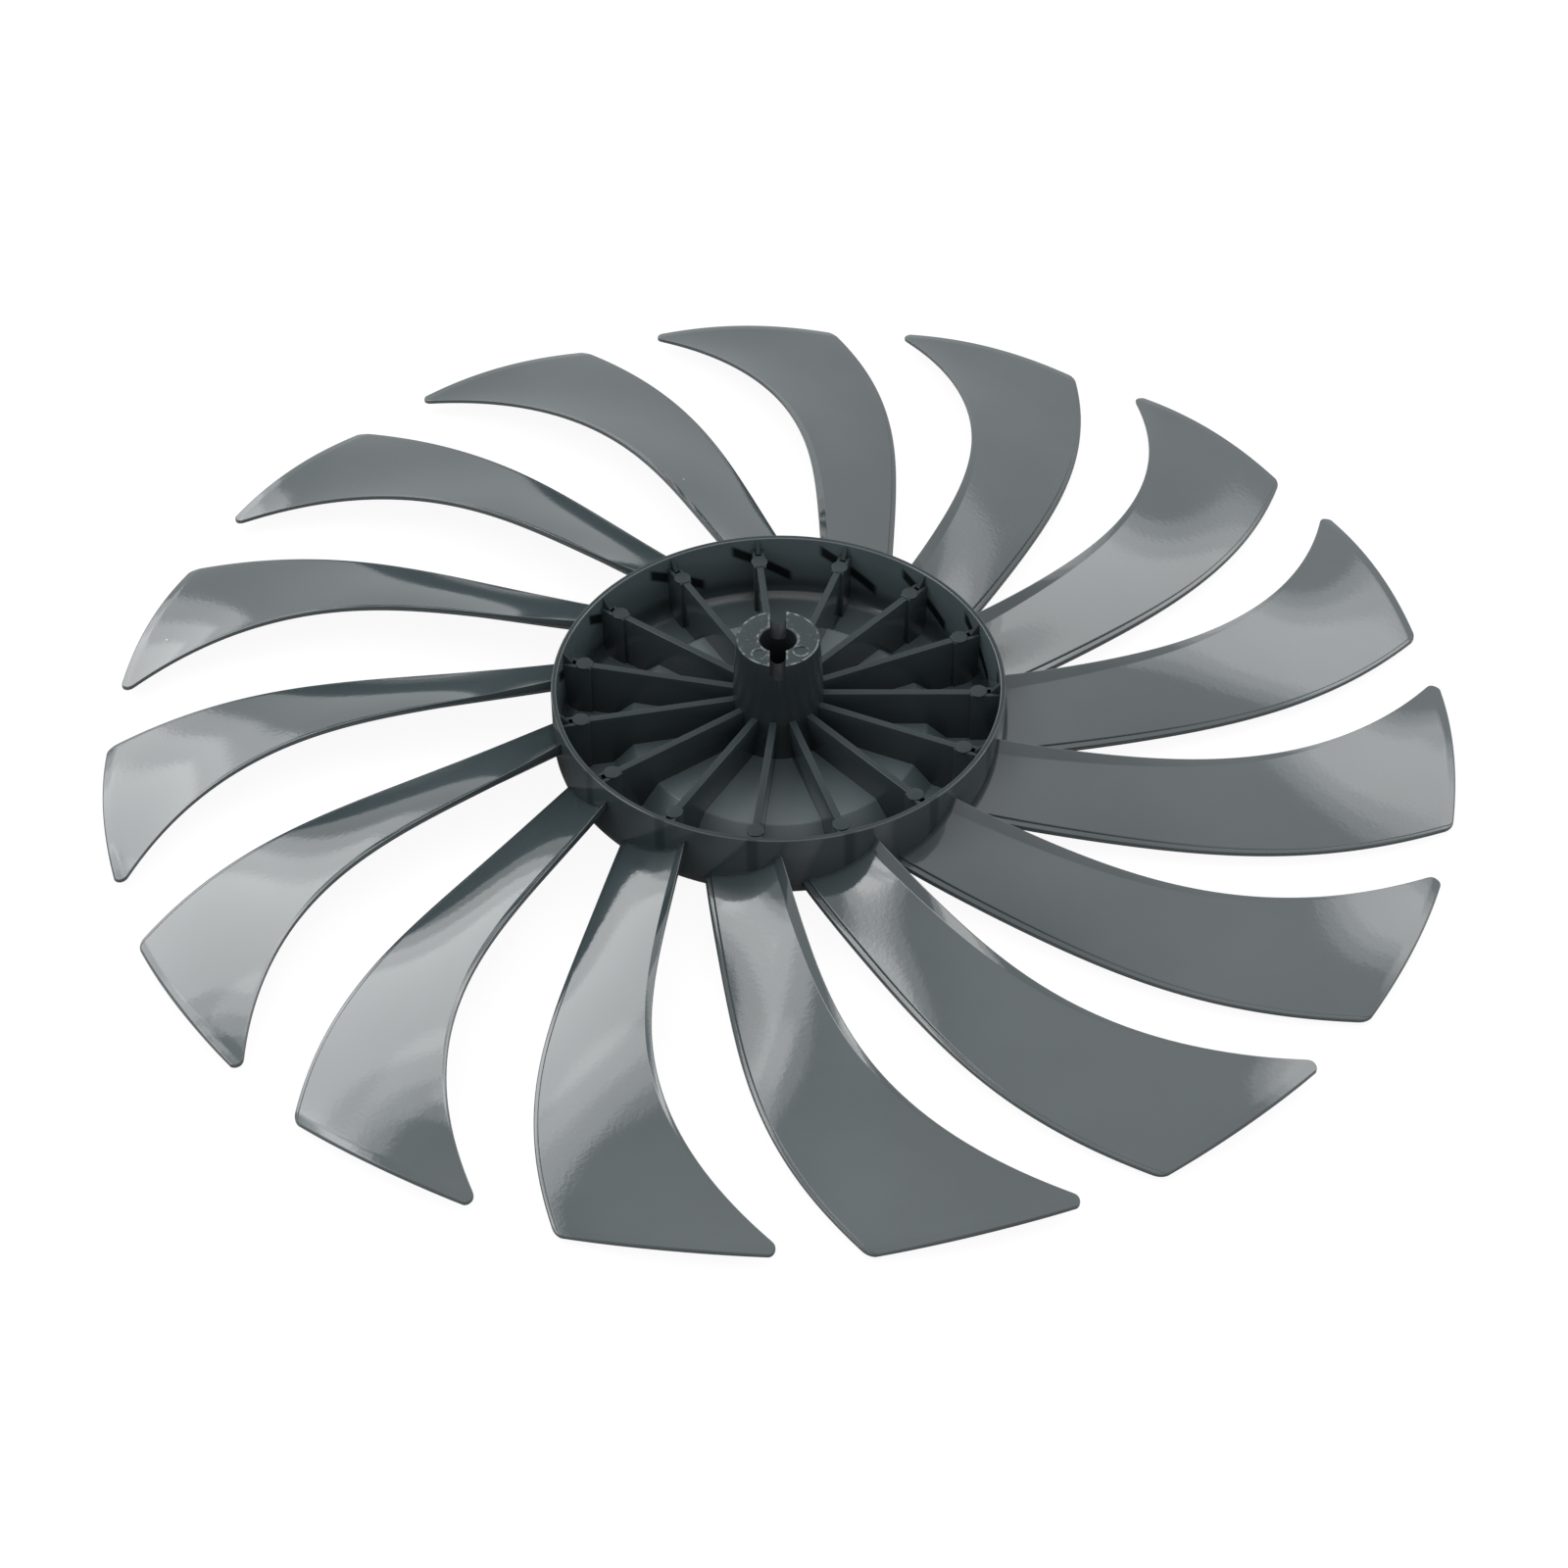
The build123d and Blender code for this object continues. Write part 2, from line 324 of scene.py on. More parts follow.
def smoke_plastic(name, painted_light_level, roughness):
    """Glossy smoke-grey moulded plastic, with faint flow clouds, fine texture and dust specks; its
    greys are scaled by a painted light level, giving lighter and darker copies for light and shade.
    """
    material = bpy.data.materials.new(name)
    material.use_nodes = True
    tree = material.node_tree
    shader = tree.nodes["Principled BSDF"]
    shader.inputs["IOR"].default_value = plastic_ior
    clouds = mottle(tree, scale=28, detail=4)
    tint = tree.nodes.new("ShaderNodeValToRGB")
    stops = tint.color_ramp.elements
    for stop, place, grey in zip(stops, (noise_low, noise_high), smoke_greys):
        stop.position = place
        stop.color = (*(part * painted_light_level for part in grey), 1)
    tree.links.new(clouds, tint.inputs["Fac"])
    tree.links.new(tint.outputs["Color"], shader.inputs["Base Color"])
    place = tree.nodes.new("ShaderNodeTexCoord")
    dust = tree.nodes.new("ShaderNodeTexVoronoi")
    dust.inputs["Scale"].default_value = dust_scale
    tree.links.new(place.outputs["Object"], dust.inputs["Vector"])
    specks = stretch(tree, dust.outputs["Distance"], speck_edge, speck_core)
    tint_over(material, specks, dust_colour)
    wipes = mottle(tree, scale=60, detail=6)
    gloss = stretch(tree, wipes, noise_low, noise_high, roughness, roughness + gloss_spread)
    tree.links.new(gloss, shader.inputs["Roughness"])
    grain = tree.nodes.new("ShaderNodeBump")
    grain.inputs["Strength"].default_value = grain_strength
    grain.inputs["Distance"].default_value = grain_height
    tree.links.new(mottle(tree, scale=900, detail=3), grain.inputs["Height"])
    tree.links.new(grain.outputs["Normal"], shader.inputs["Normal"])
    return material


def ring_of(piece, count, material):
    """Repeat a piece round the shaft axis with Geometry Nodes and keep the result as its mesh."""
    tree = bpy.data.node_groups.new(piece.name + "_ring", "GeometryNodeTree")
    tree.interface.new_socket("Geometry", in_out="INPUT", socket_type="NodeSocketGeometry")
    number = tree.interface.new_socket("Count", in_out="INPUT", socket_type="NodeSocketInt")
    finish = tree.interface.new_socket("Finish", in_out="INPUT", socket_type="NodeSocketMaterial")
    tree.interface.new_socket("Geometry", in_out="OUTPUT", socket_type="NodeSocketGeometry")
    nodes, links = tree.nodes, tree.links
    start = nodes.new("NodeGroupInput")
    end = nodes.new("NodeGroupOutput")
    spots = nodes.new("GeometryNodePoints")
    links.new(start.outputs["Count"], spots.inputs["Count"])
    index = nodes.new("GeometryNodeInputIndex")
    step = nodes.new("ShaderNodeMath")
    step.operation = "DIVIDE"
    step.inputs[0].default_value = 2 * pi
    links.new(start.outputs["Count"], step.inputs[1])
    turn = nodes.new("ShaderNodeMath")
    turn.operation = "MULTIPLY"
    links.new(index.outputs["Index"], turn.inputs[0])
    links.new(step.outputs["Value"], turn.inputs[1])
    about_z = nodes.new("ShaderNodeCombineXYZ")
    links.new(turn.outputs["Value"], about_z.inputs["Z"])
    copies = nodes.new("GeometryNodeInstanceOnPoints")
    links.new(spots.outputs["Points"], copies.inputs["Points"])
    links.new(start.outputs["Geometry"], copies.inputs["Instance"])
    links.new(about_z.outputs["Vector"], copies.inputs["Rotation"])
    real = nodes.new("GeometryNodeRealizeInstances")
    links.new(copies.outputs["Instances"], real.inputs["Geometry"])
    finished = nodes.new("GeometryNodeSetMaterial")
    links.new(real.outputs["Geometry"], finished.inputs["Geometry"])
    links.new(start.outputs["Finish"], finished.inputs["Material"])
    links.new(finished.outputs["Geometry"], end.inputs["Geometry"])
    modifier = piece.modifiers.new("ring", "NODES")
    modifier.node_group = tree
    modifier[number.identifier] = count
    modifier[finish.identifier] = material
    settle(piece)
    piece.data.materials.clear()
    piece.data.materials.append(material)
    piece.data.polygons.foreach_set("material_index", [0] * len(piece.data.polygons))


blade_mesh = bpy.data.meshes.new("blade")
blade_mesh.from_pydata(points, [], faces)
blade_mesh.update()
face_outwards(blade_mesh)
blade_mesh.shade_smooth()
# The blades take the full painted light level: their paler grey stands for light passing through
# the thin plate.
blade_plastic = smoke_plastic("blade_plastic", painted_light_level=1.0, roughness=0.06)
blades = add_object("blades", blade_mesh)
ring_of(blades, blade_count, blade_plastic)
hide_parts("impeller")
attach(blades, "root")

# ---- Hub cup ----
# The cup that carries the blades: a drafted wall, a flat ring floor and a raised middle, with
# the spinner recess on the front. The floor keeps one thickness throughout, to mould evenly.
hub_height = 0.0190
rim_wall = 0.0012
wall_draft = tan(radians(2.0))
floor_thickness = 0.0028
front_corner = 0.0065
inner_corner = 0.0030
rim_corner = 0.00035
floor_corner = 0.0010
step_height = 0.0044
step_top = 0.0330
step_foot = 0.0375
plateau = floor_thickness + step_height
inner_rim = hub_radius - rim_wall
inner_foot = inner_rim - (hub_height - floor_thickness) * wall_draft
bore_radius = 0.00405
boss_hole = 0.0060
boss_foot_inset = 0.0010
boss_foot = step_height + boss_foot_inset
cup_segments = 300
sharp_from = radians(38)
level_from = 0.95
rim_band = 0.0002


def arithmetic(tree):
    """Return three makers of nodes: arithmetic, easing between two values, and length."""

    def work(operation, *values):
        """Add a math node and return its result."""
        node = tree.nodes.new("ShaderNodeMath")
        node.operation = operation
        for socket, value in zip(node.inputs, values):
            if isinstance(value, bpy.types.NodeSocket):
                tree.links.new(value, socket)
            else:
                socket.default_value = value
        return node.outputs["Value"]

    def ramp(value, low, high):
        """Ease from 0 at one value to 1 at another."""
        return stretch(tree, value, low, high, curve="SMOOTHSTEP")

    def length(across, along):
        """Length of the line that goes so far across and so far along."""
        squares = work("ADD", work("MULTIPLY", across, across), work("MULTIPLY", along, along))
        return work("SQRT", squares)

    return work, ramp, length


def coordinates(tree, kind):
    """Return the three parts of a place on the piece, or of the way that its surface faces."""
    source = tree.nodes.new("ShaderNodeTexCoord")
    parts = tree.nodes.new("ShaderNodeSeparateXYZ")
    tree.links.new(source.outputs[kind], parts.inputs["Vector"])
    return parts.outputs


# Painted light and shade on the cup, standing in for light that passes through its thin wall and
# floor: heights and radii in metres, and bearings in radians from the nearest rib. Each pair is
# where a mark fades out and where it is full.
root_height = 0.0126
root_climb = 0.0290
root_shift = 0.018
root_shadow_edge = (0.0019, 0.0009)
root_shadow_end = (0.155, 0.125)
wall_outside = (0.0499, 0.0496)
wall_inside = (0.0458, 0.0466)
wall_painted_light_heights = (0.0060, 0.0090)
outer_skin = (0.0496, 0.0500)
rib_shadow_edge = (0.035, 0.012)
floor_heights = (0.0082, 0.0074)
floor_radii = (0.0475, 0.0460)
floor_facing = (0.1, 0.5)
floor_matt = 0.3
full_specular = 0.5


def paint_light_through_cup(material, floor_painted_light, wall_painted_light, root_painted_shadow, rib_painted_shadow):
    """Paint light and shade through the thin cup: painted light on the floor and upper inner wall,
    painted shadow in a dark line where each blade joins and in bands behind the ribs.
    """
    tree = material.node_tree
    shader = tree.nodes["Principled BSDF"]
    work, ramp, length = arithmetic(tree)
    x, y, z = coordinates(tree, "Object")
    facing_up = coordinates(tree, "Normal")["Z"]
    radius = length(x, y)
    from_rib = work("WRAP", work("ARCTAN2", y, x), pi / blade_count, -pi / blade_count)

    # Painted shadow of each blade root, seen through the wall as a dark slanted line.
    line_height = work("ADD", work("MULTIPLY", from_rib, root_climb), root_height)
    off_line = work("ABSOLUTE", work("SUBTRACT", z, line_height))
    off_root = work("ABSOLUTE", work("ADD", from_rib, root_shift))
    line = work("MULTIPLY", ramp(off_line, *root_shadow_edge), ramp(off_root, *root_shadow_end))
    on_wall = work("MULTIPLY", ramp(radius, *wall_outside), ramp(radius, *wall_inside))
    line = work("MULTIPLY", work("MULTIPLY", line, on_wall), root_painted_shadow)
    # Painted shadow of each rib, seen through the outer skin of the wall as a dark band.
    behind_rib = ramp(work("ABSOLUTE", from_rib), *rib_shadow_edge)
    band = work("MULTIPLY", work("MULTIPLY", behind_rib, ramp(radius, *outer_skin)), rib_painted_shadow)
    left_light = work("SUBTRACT", 1.0, work("MAXIMUM", line, band))

    # Painted light through the thin floor and the upper inner wall: the base colour is made paler
    # there.
    on_floor = work("MULTIPLY", ramp(z, *floor_heights), ramp(radius, *floor_radii))
    on_floor = work("MULTIPLY", on_floor, ramp(facing_up, *floor_facing))
    up_wall = work("MULTIPLY", on_wall, ramp(z, *wall_painted_light_heights))
    up_wall = work("MULTIPLY", up_wall, wall_painted_light)
    glow = work("ADD", work("MULTIPLY", on_floor, floor_painted_light), up_wall)
    level = work("MULTIPLY", work("ADD", glow, 1.0), left_light)

    base = shader.inputs["Base Color"]
    scaled = tree.nodes.new("ShaderNodeVectorMath")
    scaled.operation = "SCALE"
    tree.links.new(base.links[0].from_socket, scaled.inputs[0])
    tree.links.new(level, scaled.inputs["Scale"])
    tree.links.new(scaled.outputs["Vector"], base)
    gloss = shader.inputs["Roughness"]
    duller = work("ADD", gloss.links[0].from_socket, work("MULTIPLY", on_floor, floor_matt))
    tree.links.new(duller, gloss)
    # The reflection is weakened under the painted shadows as well.
    specular = work("MULTIPLY", left_light, full_specular)
    tree.links.new(specular, shader.inputs["Specular IOR Level"])


def paint(mesh, plastic, wanted):
    """Give the faces of a mesh that pass a test their own plastic."""
    mesh.materials.append(plastic)
    for face in mesh.polygons:
        if wanted(face):
            face.material_index = len(mesh.materials) - 1


def level_above(lowest):
    """Test for level faces above a height."""
    return lambda face: face.normal.z > level_from and face.center.z > lowest


# Pale flecks on the matt faces.
fleck_colour = (0.10, 0.11, 0.12)
fleck_limits = (0.56, 0.74)
matt_roughness = 0.5
matt_specular = 0.08


def matt_plastic(name, painted_light_level, flecks):
    """Matt moulded face: rough, deep grey from its painted light level, with short pale flecks."""
    material = smoke_plastic(name, painted_light_level, matt_roughness)
    tree = material.node_tree
    tree.nodes["Principled BSDF"].inputs["Specular IOR Level"].default_value = matt_specular
    patches = mottle(tree, scale=1500, detail=5, roughness=0.75)
    flecked = stretch(tree, patches, *fleck_limits, high=flecks, curve="SMOOTHSTEP")
    tint_over(material, flecked, fleck_colour)
    return material


def smooth_with_corners(mesh):
    """Shade a mesh smoothly, with its corners left crisp."""
    mesh.shade_smooth()
    mesh.set_sharp_from_angle(angle=sharp_from)


def turned(name, profile, segments):
    """Turn a closed profile about Z. Its points are (radius, height, rounding, steps round it)."""
    outline = []
    for place, (radius, height, rounding, steps) in enumerate(profile):
        here = Vector((radius, height))
        if not steps:
            outline.append(here)
            continue
        before = (Vector(profile[place - 1][:2]) - here).normalized()
        after = (Vector(profile[(place + 1) % len(profile)][:2]) - here).normalized()
        half = before.angle(after) / 2
        centre = here + (before + after).normalized() * rounding / sin(half)
        first = here + before * rounding / tan(half) - centre
        last = here + after * rounding / tan(half) - centre
        swing = first.angle(last)
        for step in range(steps + 1):
            part = step / steps
            mixed = first * sin((1 - part) * swing) + last * sin(part * swing)
            outline.append(centre + mixed / sin(swing))
    ring = len(outline)
    spots = []
    quads = []
    for turn in range(segments):
        angle = 2 * pi * turn / segments
        spots += [(p.x * cos(angle), p.x * sin(angle), p.y) for p in outline]
        near, far = turn * ring, (turn + 1) % segments * ring
        for step in range(ring):
            ahead = (step + 1) % ring
            quads.append((near + step, near + ahead, far + ahead, far + step))
    mesh = bpy.data.meshes.new(name)
    mesh.from_pydata(spots, [], quads)
    mesh.update()
    face_outwards(mesh)
    smooth_with_corners(mesh)
    return add_object(name, mesh)


cup_profile = [
    (boss_hole, plateau, 0, 0),
    (boss_hole, boss_foot, 0, 0),
    (bore_radius, boss_foot, 0, 0),
    (bore_radius, step_height, 0, 0),
    (step_top - floor_thickness / 2, step_height, 0, 0),
    (step_foot - floor_thickness / 2, 0.0, 0, 0),
    (hub_radius, 0.0, front_corner, 16),
    (hub_radius, hub_height, rim_corner, 4),
    (inner_rim, hub_height, rim_corner, 4),
    (inner_foot, floor_thickness, inner_corner, 10),
    (step_foot, floor_thickness, floor_corner, 5),
    (step_top, plateau, floor_corner, 5),
]
hub_cup = turned("hub_cup", cup_profile, cup_segments)
# The cup is a darker copy of the same plastic: painted shade for its thicker walls.
cup_plastic = smoke_plastic("cup_plastic", painted_light_level=0.8, roughness=0.12)
# Painted light on the cup's floor and upper wall, painted shadow along each blade root and behind
# each rib.
paint_light_through_cup(cup_plastic, floor_painted_light=1.2, wall_painted_light=0.9, root_painted_shadow=0.9, rib_painted_shadow=0.35)
# Rim, rib and fin tops take a darker matt copy: painted shade on these up-facing faces.
rim_plastic = matt_plastic("rim_plastic", painted_light_level=0.6, flecks=0.1)
hub_cup.data.materials.append(cup_plastic)
paint(hub_cup.data, rim_plastic, level_above(hub_height - rim_band))
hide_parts("impeller")
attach(hub_cup, "root")

# ---- Shaft boss ----
# The thick socket for the motor shaft, drafted and flared into the floor. Its end is slotted across
# for the drive pin, is matt with pale flecks and painted highlights along its edges, and carries
# the round marks of two ejector pins.
boss_height = 0.0317
boss_top = 0.0092
boss_base = 0.0104
boss_flare = 0.0123
boss_flare_height = 0.0048
boss_flare_rounding = 0.008
boss_segments = 96
boss_edge_ease = 0.0002
boss_end_band = 0.0006
bore_lead_in = 0.00025
slot_width = 0.0035
slot_depth = 0.0038
slot_floor = boss_height - slot_depth + slot_width / 2
slot_arc_steps = 24
slot_top_band = 0.0003
slot_slack = 0.0001
cutter_overshoot = 0.002
ejector_bearings = (radians(-129.4), radians(-38.4))
ejector_mark_radius = 0.0015
ejector_mark_place = 0.0064
ejector_mark_depth = 0.00025
# Colour and placing of the painted edge highlights on the boss end.
edge_highlight_colour = (0.12, 0.135, 0.14)
edge_highlight_limits = (0.40, 0.66)
highlight_half_width = 0.0003
mark_highlight_half_width = 0.00035
edge_highlight_inset = 0.0003
bore_highlight_inset = 0.0005
mark_highlight_inset = 0.0001
endwise_from = 0.5
ease_steps = 3
ease_from = radians(35)


def add_slab(parts, outline, thickness):
    """Add an upright slab along X, from an outline of (place along X, height) points."""
    near = [parts.verts.new((x, -thickness / 2, z)) for x, z in outline]
    far = [parts.verts.new((x, thickness / 2, z)) for x, z in outline]
    slab = [parts.faces.new(near), parts.faces.new(list(reversed(far)))]
    for step in range(len(outline)):
        ahead = (step + 1) % len(outline)
        slab.append(parts.faces.new((near[ahead], near[step], far[step], far[ahead])))
    bmesh.ops.recalc_face_normals(parts, faces=slab)


def add_pin(parts, place, radius, depth, segments):
    """Add an upright round pin that reaches a depth above and below a place."""
    bmesh.ops.create_cone(
        parts,
        cap_ends=True,
        segments=segments,
        radius1=radius,
        radius2=radius,
        depth=2 * depth,
        matrix=Matrix.Translation(place),
    )


def add_mesh(name, parts):
    """Put loose parts into the scene as one mesh."""
    mesh = bpy.data.meshes.new(name)
    parts.to_mesh(mesh)
    parts.free()
    return add_object(name, mesh)


def cut_from(piece, cutter):
    """Cut one shape out of a piece."""
    cut = piece.modifiers.new(cutter.name, "BOOLEAN")
    cut.object = cutter
    cut.operation = "DIFFERENCE"
    cut.solver = "EXACT"


def ease_edges(piece, width):
    """Break the sharp edges of a piece with a small rounding."""
    ease = piece.modifiers.new("ease", "BEVEL")
    ease.width = width
    ease.segments = ease_steps
    ease.limit_method = "ANGLE"
    ease.angle_limit = ease_from


def paint_edge_highlights(material):
    """Paint broken pale highlight lines on the boss end along its outer edge, bore, slot and
    ejector marks.
    """
    tree = material.node_tree
    work, ramp, length = arithmetic(tree)
    x, y, _ = coordinates(tree, "Object")

    def line_at(value, middle, half_width=highlight_half_width):
        """A soft line where a value passes its middle."""
        return ramp(work("ABSOLUTE", work("SUBTRACT", value, middle)), half_width, half_width / 3)

    radius = length(x, y)
    outer_line = line_at(radius, boss_top - edge_highlight_inset)
    bore_line = line_at(radius, bore_radius + bore_highlight_inset)
    slot_line = line_at(work("ABSOLUTE", x), slot_width / 2 + edge_highlight_inset)
    lines = work("MAXIMUM", work("MAXIMUM", outer_line, bore_line), slot_line)
    for bearing in ejector_bearings:
        across = work("SUBTRACT", x, ejector_mark_place * cos(bearing))
        along = work("SUBTRACT", y, ejector_mark_place * sin(bearing))
        edge = ejector_mark_radius + mark_highlight_inset
        mark_line = line_at(length(across, along), edge, mark_highlight_half_width)
        lines = work("MAXIMUM", lines, mark_line)
    patches = mottle(tree, scale=700, detail=3)
    tint_over(material, work("MULTIPLY", lines, ramp(patches, *edge_highlight_limits)), edge_highlight_colour)


def in_slot(face):
    """Test for the faces of the cross slot, but not the boss's outer wall at its ends."""
    between_walls = abs(face.center.x) < slot_width / 2 + slot_slack
    below_end = boss_height - slot_top_band > face.center.z > slot_floor - slot_width
    return between_walls and below_end and abs(face.normal.y) < endwise_from


boss_profile = [
    (bore_radius, boss_foot, 0, 0),
    (boss_flare, boss_foot, 0, 0),
    (boss_flare, plateau, 0, 0),
    (boss_base, plateau + boss_flare_height, boss_flare_rounding, 6),
    (boss_top, boss_height, 0, 0),
    (bore_radius + bore_lead_in, boss_height, 0, 0),
    (bore_radius, boss_height - bore_lead_in, 0, 0),
]
shaft_boss = turned("shaft_boss", boss_profile, boss_segments)
half_slot = slot_width / 2
slot_outline = [
    (half_slot, boss_height + cutter_overshoot),
    (-half_slot, boss_height + cutter_overshoot),
]
for step in range(slot_arc_steps + 1):
    angle = pi + pi * step / slot_arc_steps
    slot_outline.append((half_slot * cos(angle), slot_floor + half_slot * sin(angle)))
slot_parts = bmesh.new()
add_slab(slot_parts, slot_outline, 4 * boss_flare)
slot_cutter = add_mesh("slot_cutter", slot_parts)
mark_parts = bmesh.new()
for bearing in ejector_bearings:
    across, along = ejector_mark_place * cos(bearing), ejector_mark_place * sin(bearing)
    mark_place = (across, along, boss_height)
    add_pin(mark_parts, mark_place, ejector_mark_radius, ejector_mark_depth, segments=40)
mark_cutter = add_mesh("mark_cutter", mark_parts)
cut_from(shaft_boss, mark_cutter)
cut_from(shaft_boss, slot_cutter)
ease_edges(shaft_boss, boss_edge_ease)
settle(shaft_boss)
for cutter in (mark_cutter, slot_cutter):
    bpy.data.objects.remove(cutter)
smooth_with_corners(shaft_boss.data)
# The boss, its end and its slot are darker copies of the plastic: painted shade, deepest in the
# slot.
boss_plastic = smoke_plastic("boss_plastic", painted_light_level=0.4, roughness=0.22)
boss_end_plastic = matt_plastic("boss_end_plastic", painted_light_level=0.7, flecks=0.6)
slot_plastic = matt_plastic("slot_plastic", painted_light_level=0.3, flecks=0.2)
# Painted highlights in broken lines along the edges of the boss end.
paint_edge_highlights(boss_end_plastic)
shaft_boss.data.materials.clear()
shaft_boss.data.materials.append(boss_plastic)
paint(shaft_boss.data, boss_end_plastic, level_above(boss_height - boss_end_band))
paint(shaft_boss.data, slot_plastic, in_slot)
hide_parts("impeller")
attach(shaft_boss, "root")

# ---- Hub ribs ----
# Fifteen straight webs from boss to wall, one behind each blade root. Each thickens into a block
# at the wall, with an ejector pad on top and a thin fin that runs up the wall to the rim.
rib_start = 0.0066
rib_top = 0.0161
rib_thickness = 0.0016
rib_block_thickness = 0.0028
rib_block_length = 0.0064
rib_foot = floor_thickness / 2
rib_corner = 0.0026
rib_edge_ease = 0.00016
rib_top_band = 0.0001
fin_thickness = 0.0010
fin_length = 0.0020
fin_gap = 0.0003
fin_top = hub_height - fin_gap
pad_diameter = 0.0038
pad_height = 0.0003
pad_to_wall = 0.0046
wall_at_rib_top = inner_rim - (hub_height - rib_top) * wall_draft
wall_middle = hub_radius - rim_wall / 2
block_start = wall_at_rib_top - rib_block_length
fin_start = wall_at_rib_top - fin_length

# Web and block end alike inside the wall, with the hidden corner cut off under its rounding.
rib_end = [
    (inner_foot - rib_corner, rib_foot),
    (inner_foot, rib_foot + rib_corner),
    (wall_middle, rib_top),
]
web_outline = [
    (rib_start, step_height + rib_foot),
    (step_top, step_height + rib_foot),
    (step_foot, rib_foot),
    *rib_end,
    (rib_start, rib_top),
]
block_outline = [(block_start, rib_foot), *rib_end, (block_start, rib_top)]
fin_outline = [
    (fin_start, rib_top - fin_thickness),
    (wall_middle, rib_top - fin_thickness),
    (wall_middle, fin_top),
    (inner_rim, fin_top),
    (fin_start, rib_top),
]
rib_parts = bmesh.new()
add_slab(rib_parts, web_outline, rib_thickness)
add_slab(rib_parts, block_outline, rib_block_thickness)
add_slab(rib_parts, fin_outline, fin_thickness)
pad_place = (wall_at_rib_top - pad_to_wall, 0, rib_top)
add_pin(rib_parts, pad_place, pad_diameter / 2, pad_height, segments=32)
hub_ribs = add_mesh("hub_ribs", rib_parts)
ease_edges(hub_ribs, rib_edge_ease)
settle(hub_ribs)
# The ribs are a darker copy again: painted shade.
hub_plastic = smoke_plastic("hub_plastic", painted_light_level=0.7, roughness=0.12)
ring_of(hub_ribs, blade_count, hub_plastic)
rib_tops = level_above(rib_top - rib_top_band)
fin_from = rib_top + pad_height + rib_top_band
# Painted shade: rib tops and fins get the darker matt copy.
paint(hub_ribs.data, rim_plastic, lambda face: rib_tops(face) or face.center.z > fin_from)
smooth_with_corners(hub_ribs.data)
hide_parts("impeller")
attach(hub_ribs, "root")

# ---- Floor, light and camera ----
# A plain floor, white to the camera and greyer to the wheel, so that the undersides stay deep.
# Soft studio boxes hang round the back and sides, each in layers that feather its edges.
floor_reach = 6
floor_drop = 0.0002
floor_roughness = 0.9
floor_seen_by_wheel = (0.4, 0.4, 0.4, 1)
floor_seen_by_camera = (0.8, 0.8, 0.8, 1)
floor_glow_share = 0.93
sky_level = 1.25
sky_lobes = (((0, 0, 1), 0.3), ((0.33, 0.33, 0.88), 0.45))
sky_lobe_limits = (0.68, 0.94)
lamp_distance = 1.5
lamp_feather = 0.51
lamp_layer_gap = 0.01

floor_mesh = bpy.data.meshes.new("floor")
corners = [(x * floor_reach, y * floor_reach, 0) for x, y in ((-1, -1), (1, -1), (1, 1), (-1, 1))]
floor_mesh.from_pydata(corners, [], [(0, 1, 2, 3)])
floor = add_object("floor", floor_mesh)
floor.location.z = -floor_drop
floor_white = bpy.data.materials.new("floor_white")
floor_white.use_nodes = True
nodes, links = floor_white.node_tree.nodes, floor_white.node_tree.links
work = arithmetic(floor_white.node_tree)[0]
shader = nodes["Principled BSDF"]
shader.inputs["Roughness"].default_value = floor_roughness
seen_by_camera = nodes.new("ShaderNodeLightPath").outputs["Is Camera Ray"]
paper = nodes.new("ShaderNodeMix")
paper.data_type = "RGBA"
paper.inputs["A"].default_value = floor_seen_by_wheel
paper.inputs["B"].default_value = floor_seen_by_camera
links.new(seen_by_camera, paper.inputs["Factor"])
links.new(paper.outputs["Result"], shader.inputs["Base Color"])
glow = nodes.new("ShaderNodeEmission")
mixed = nodes.new("ShaderNodeMixShader")
links.new(work("MULTIPLY", seen_by_camera, floor_glow_share), mixed.inputs["Fac"])
links.new(shader.outputs["BSDF"], mixed.inputs[1])
links.new(glow.outputs["Emission"], mixed.inputs[2])
links.new(mixed.outputs["Shader"], nodes["Material Output"].inputs["Surface"])
floor_mesh.materials.append(floor_white)

# The sky is even, with two brighter patches: overhead, and high up behind on the right.
world = bpy.data.worlds.new("studio")
bpy.context.scene.world = world
world.use_nodes = True
nodes, links = world.node_tree.nodes, world.node_tree.links
work, ramp, _ = arithmetic(world.node_tree)
sky = nodes.new("ShaderNodeTexCoord")
level = sky_level
for toward, extra in sky_lobes:
    along = nodes.new("ShaderNodeVectorMath")
    along.operation = "DOT_PRODUCT"
    along.inputs[1].default_value = toward
    links.new(sky.outputs["Object"], along.inputs[0])
    lobe = ramp(along.outputs["Value"], *sky_lobe_limits)
    level = work("ADD", work("MULTIPLY", lobe, extra), level)
nodes["Background"].inputs["Color"].default_value = (1, 1, 1, 1)
links.new(level, nodes["Background"].inputs["Strength"])


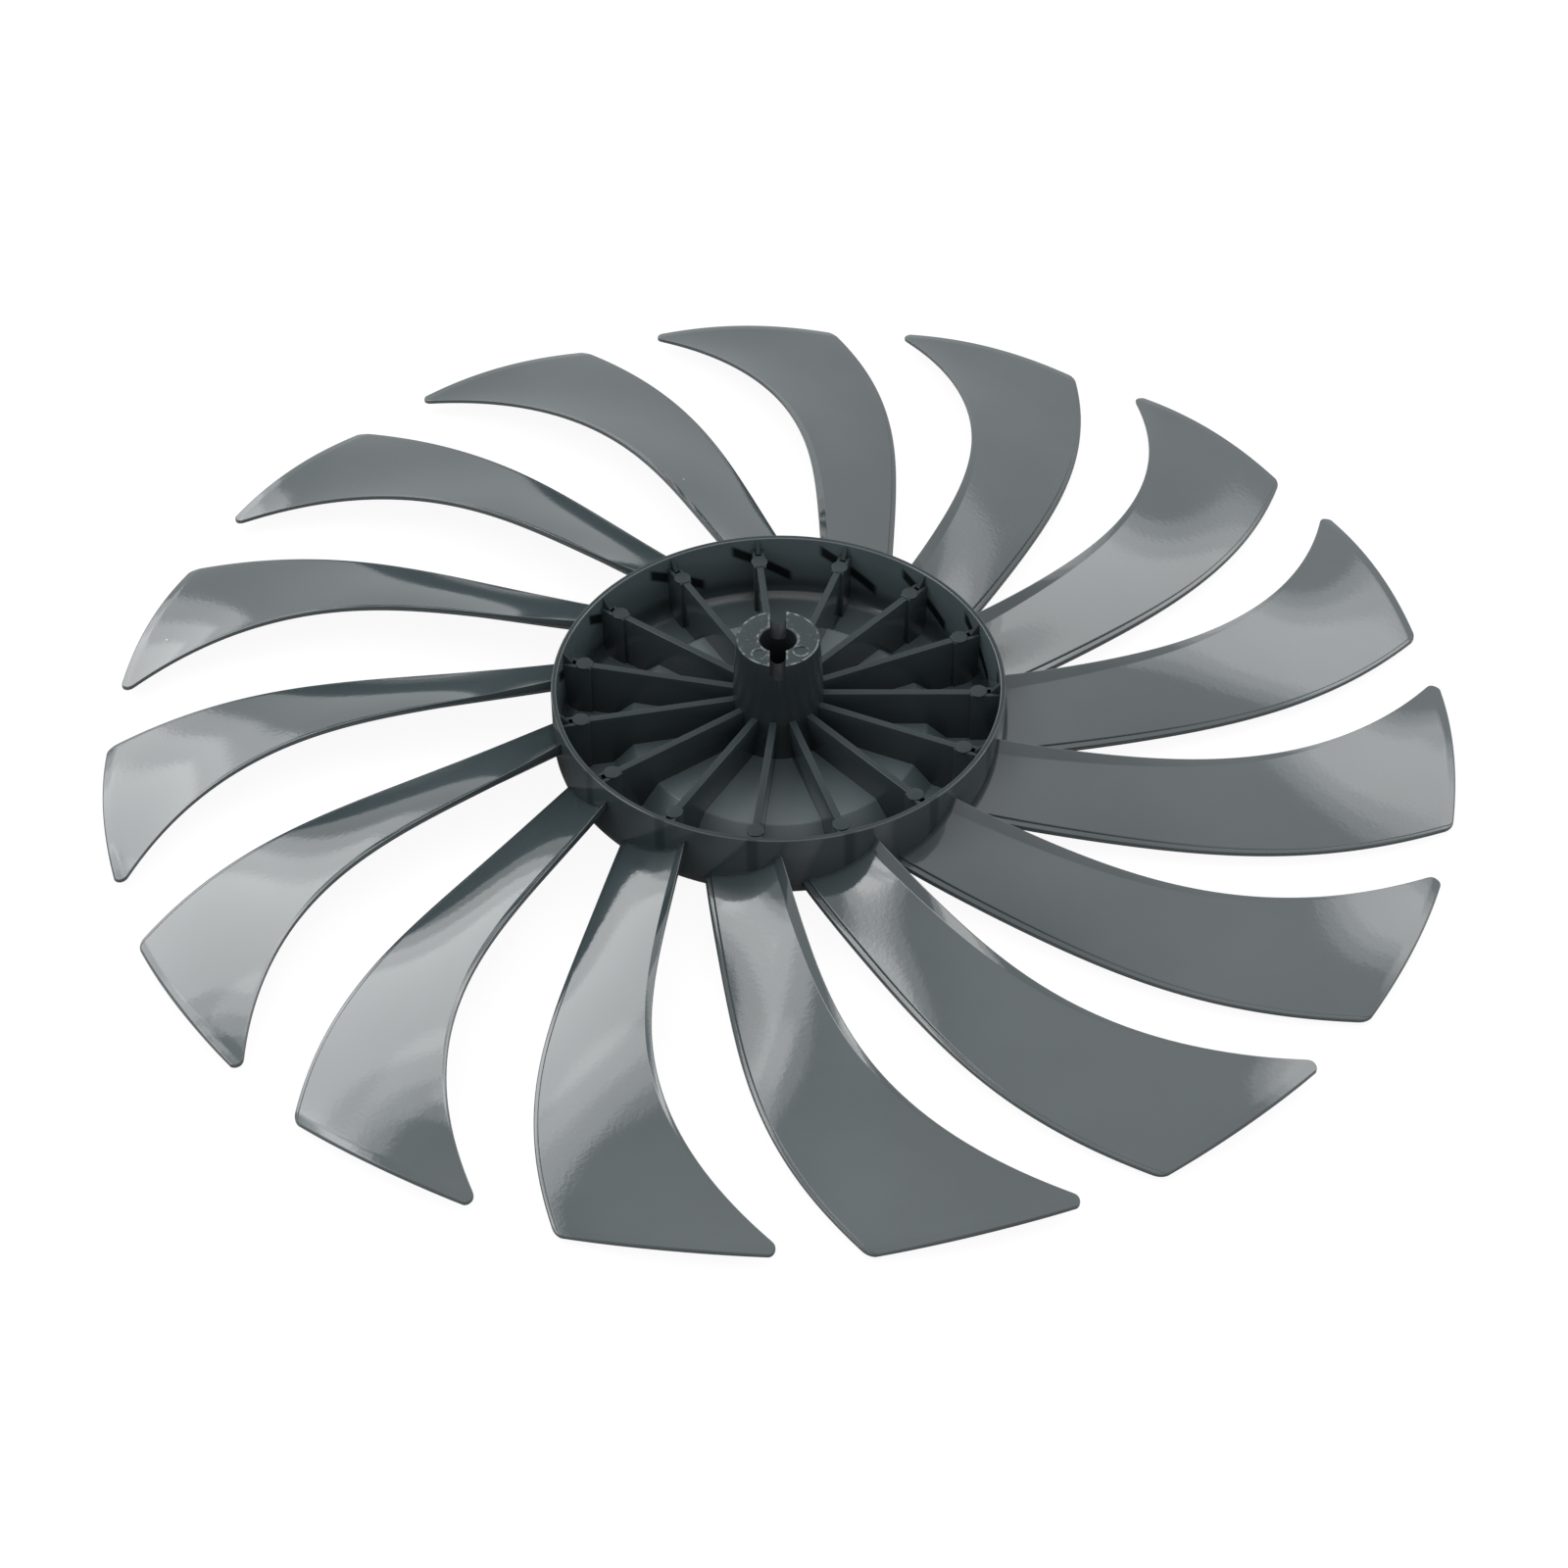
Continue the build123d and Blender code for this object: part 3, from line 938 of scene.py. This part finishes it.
def soft_box(name, bearing, elevation, wide, high, lean, radiance, layers):
    """Hang a feathered lamp that faces the wheel. Its bearing is clockwise from straight behind."""
    flat = lamp_distance * cos(radians(elevation))
    place = Vector((
        flat * sin(radians(bearing)),
        flat * cos(radians(bearing)),
        lamp_distance * sin(radians(elevation)),
    ))
    facing = (-place).to_track_quat("-Z", "Y").to_matrix()
    for layer in range(layers):
        share = 1 + lamp_feather * ((2 * layer + 1) / layers - 1)
        lamp = bpy.data.lights.new(name, "AREA")
        lamp.shape = "RECTANGLE"
        lamp.size = wide * share
        lamp.size_y = high * share
        lamp.energy = pi * lamp.size * lamp.size_y * radiance / layers
        box = add_object(f"{name}_{layer}", lamp)
        box.location = place * (1 + lamp_layer_gap * layer)
        box.rotation_euler = (facing @ Matrix.Rotation(radians(lean), 3, "Z")).to_euler()


soft_box("back_left_box", -35, 36, wide=0.56, high=0.80, lean=0, radiance=5.8, layers=3)
soft_box("left_box", -70, 52, wide=0.96, high=0.42, lean=8, radiance=2.8, layers=2)
soft_box("far_left_box", -94, 48, wide=0.50, high=0.46, lean=0, radiance=4.5, layers=2)
soft_box("near_left_box", -63, 53, wide=0.30, high=0.24, lean=0, radiance=4.6, layers=2)
soft_box("right_box", 47, 47, wide=1.02, high=0.46, lean=0, radiance=4.2, layers=3)
soft_box("low_right_box", 73, 9, wide=0.34, high=0.42, lean=0, radiance=2.6, layers=1)

camera_place = (0.007929, -0.652688, 0.611125)
camera_tilt = radians(43.68)
camera_roll = radians(-0.41)
camera_turn = Matrix.Rotation(radians(0.6), 3, "Z")
camera_lens = 91.68
camera_sensor = 36
across = Vector((1, 0, 0))
forward = Vector((0, cos(camera_tilt), -sin(camera_tilt)))
upward = Vector((0, sin(camera_tilt), cos(camera_tilt)))
camera_x = camera_turn @ (cos(camera_roll) * across + sin(camera_roll) * upward)
camera_y = camera_turn @ (-sin(camera_roll) * across + cos(camera_roll) * upward)
camera_z = -(camera_turn @ forward)
camera_data = bpy.data.cameras.new("camera")
camera_data.sensor_width = camera_sensor
camera_data.lens = camera_lens
camera = add_object("camera", camera_data)
facing = Matrix((camera_x, camera_y, camera_z)).transposed().to_4x4()
camera.matrix_world = Matrix.Translation(camera_place) @ facing
bpy.context.scene.camera = camera
bpy.context.scene.view_settings.view_transform = "Standard"
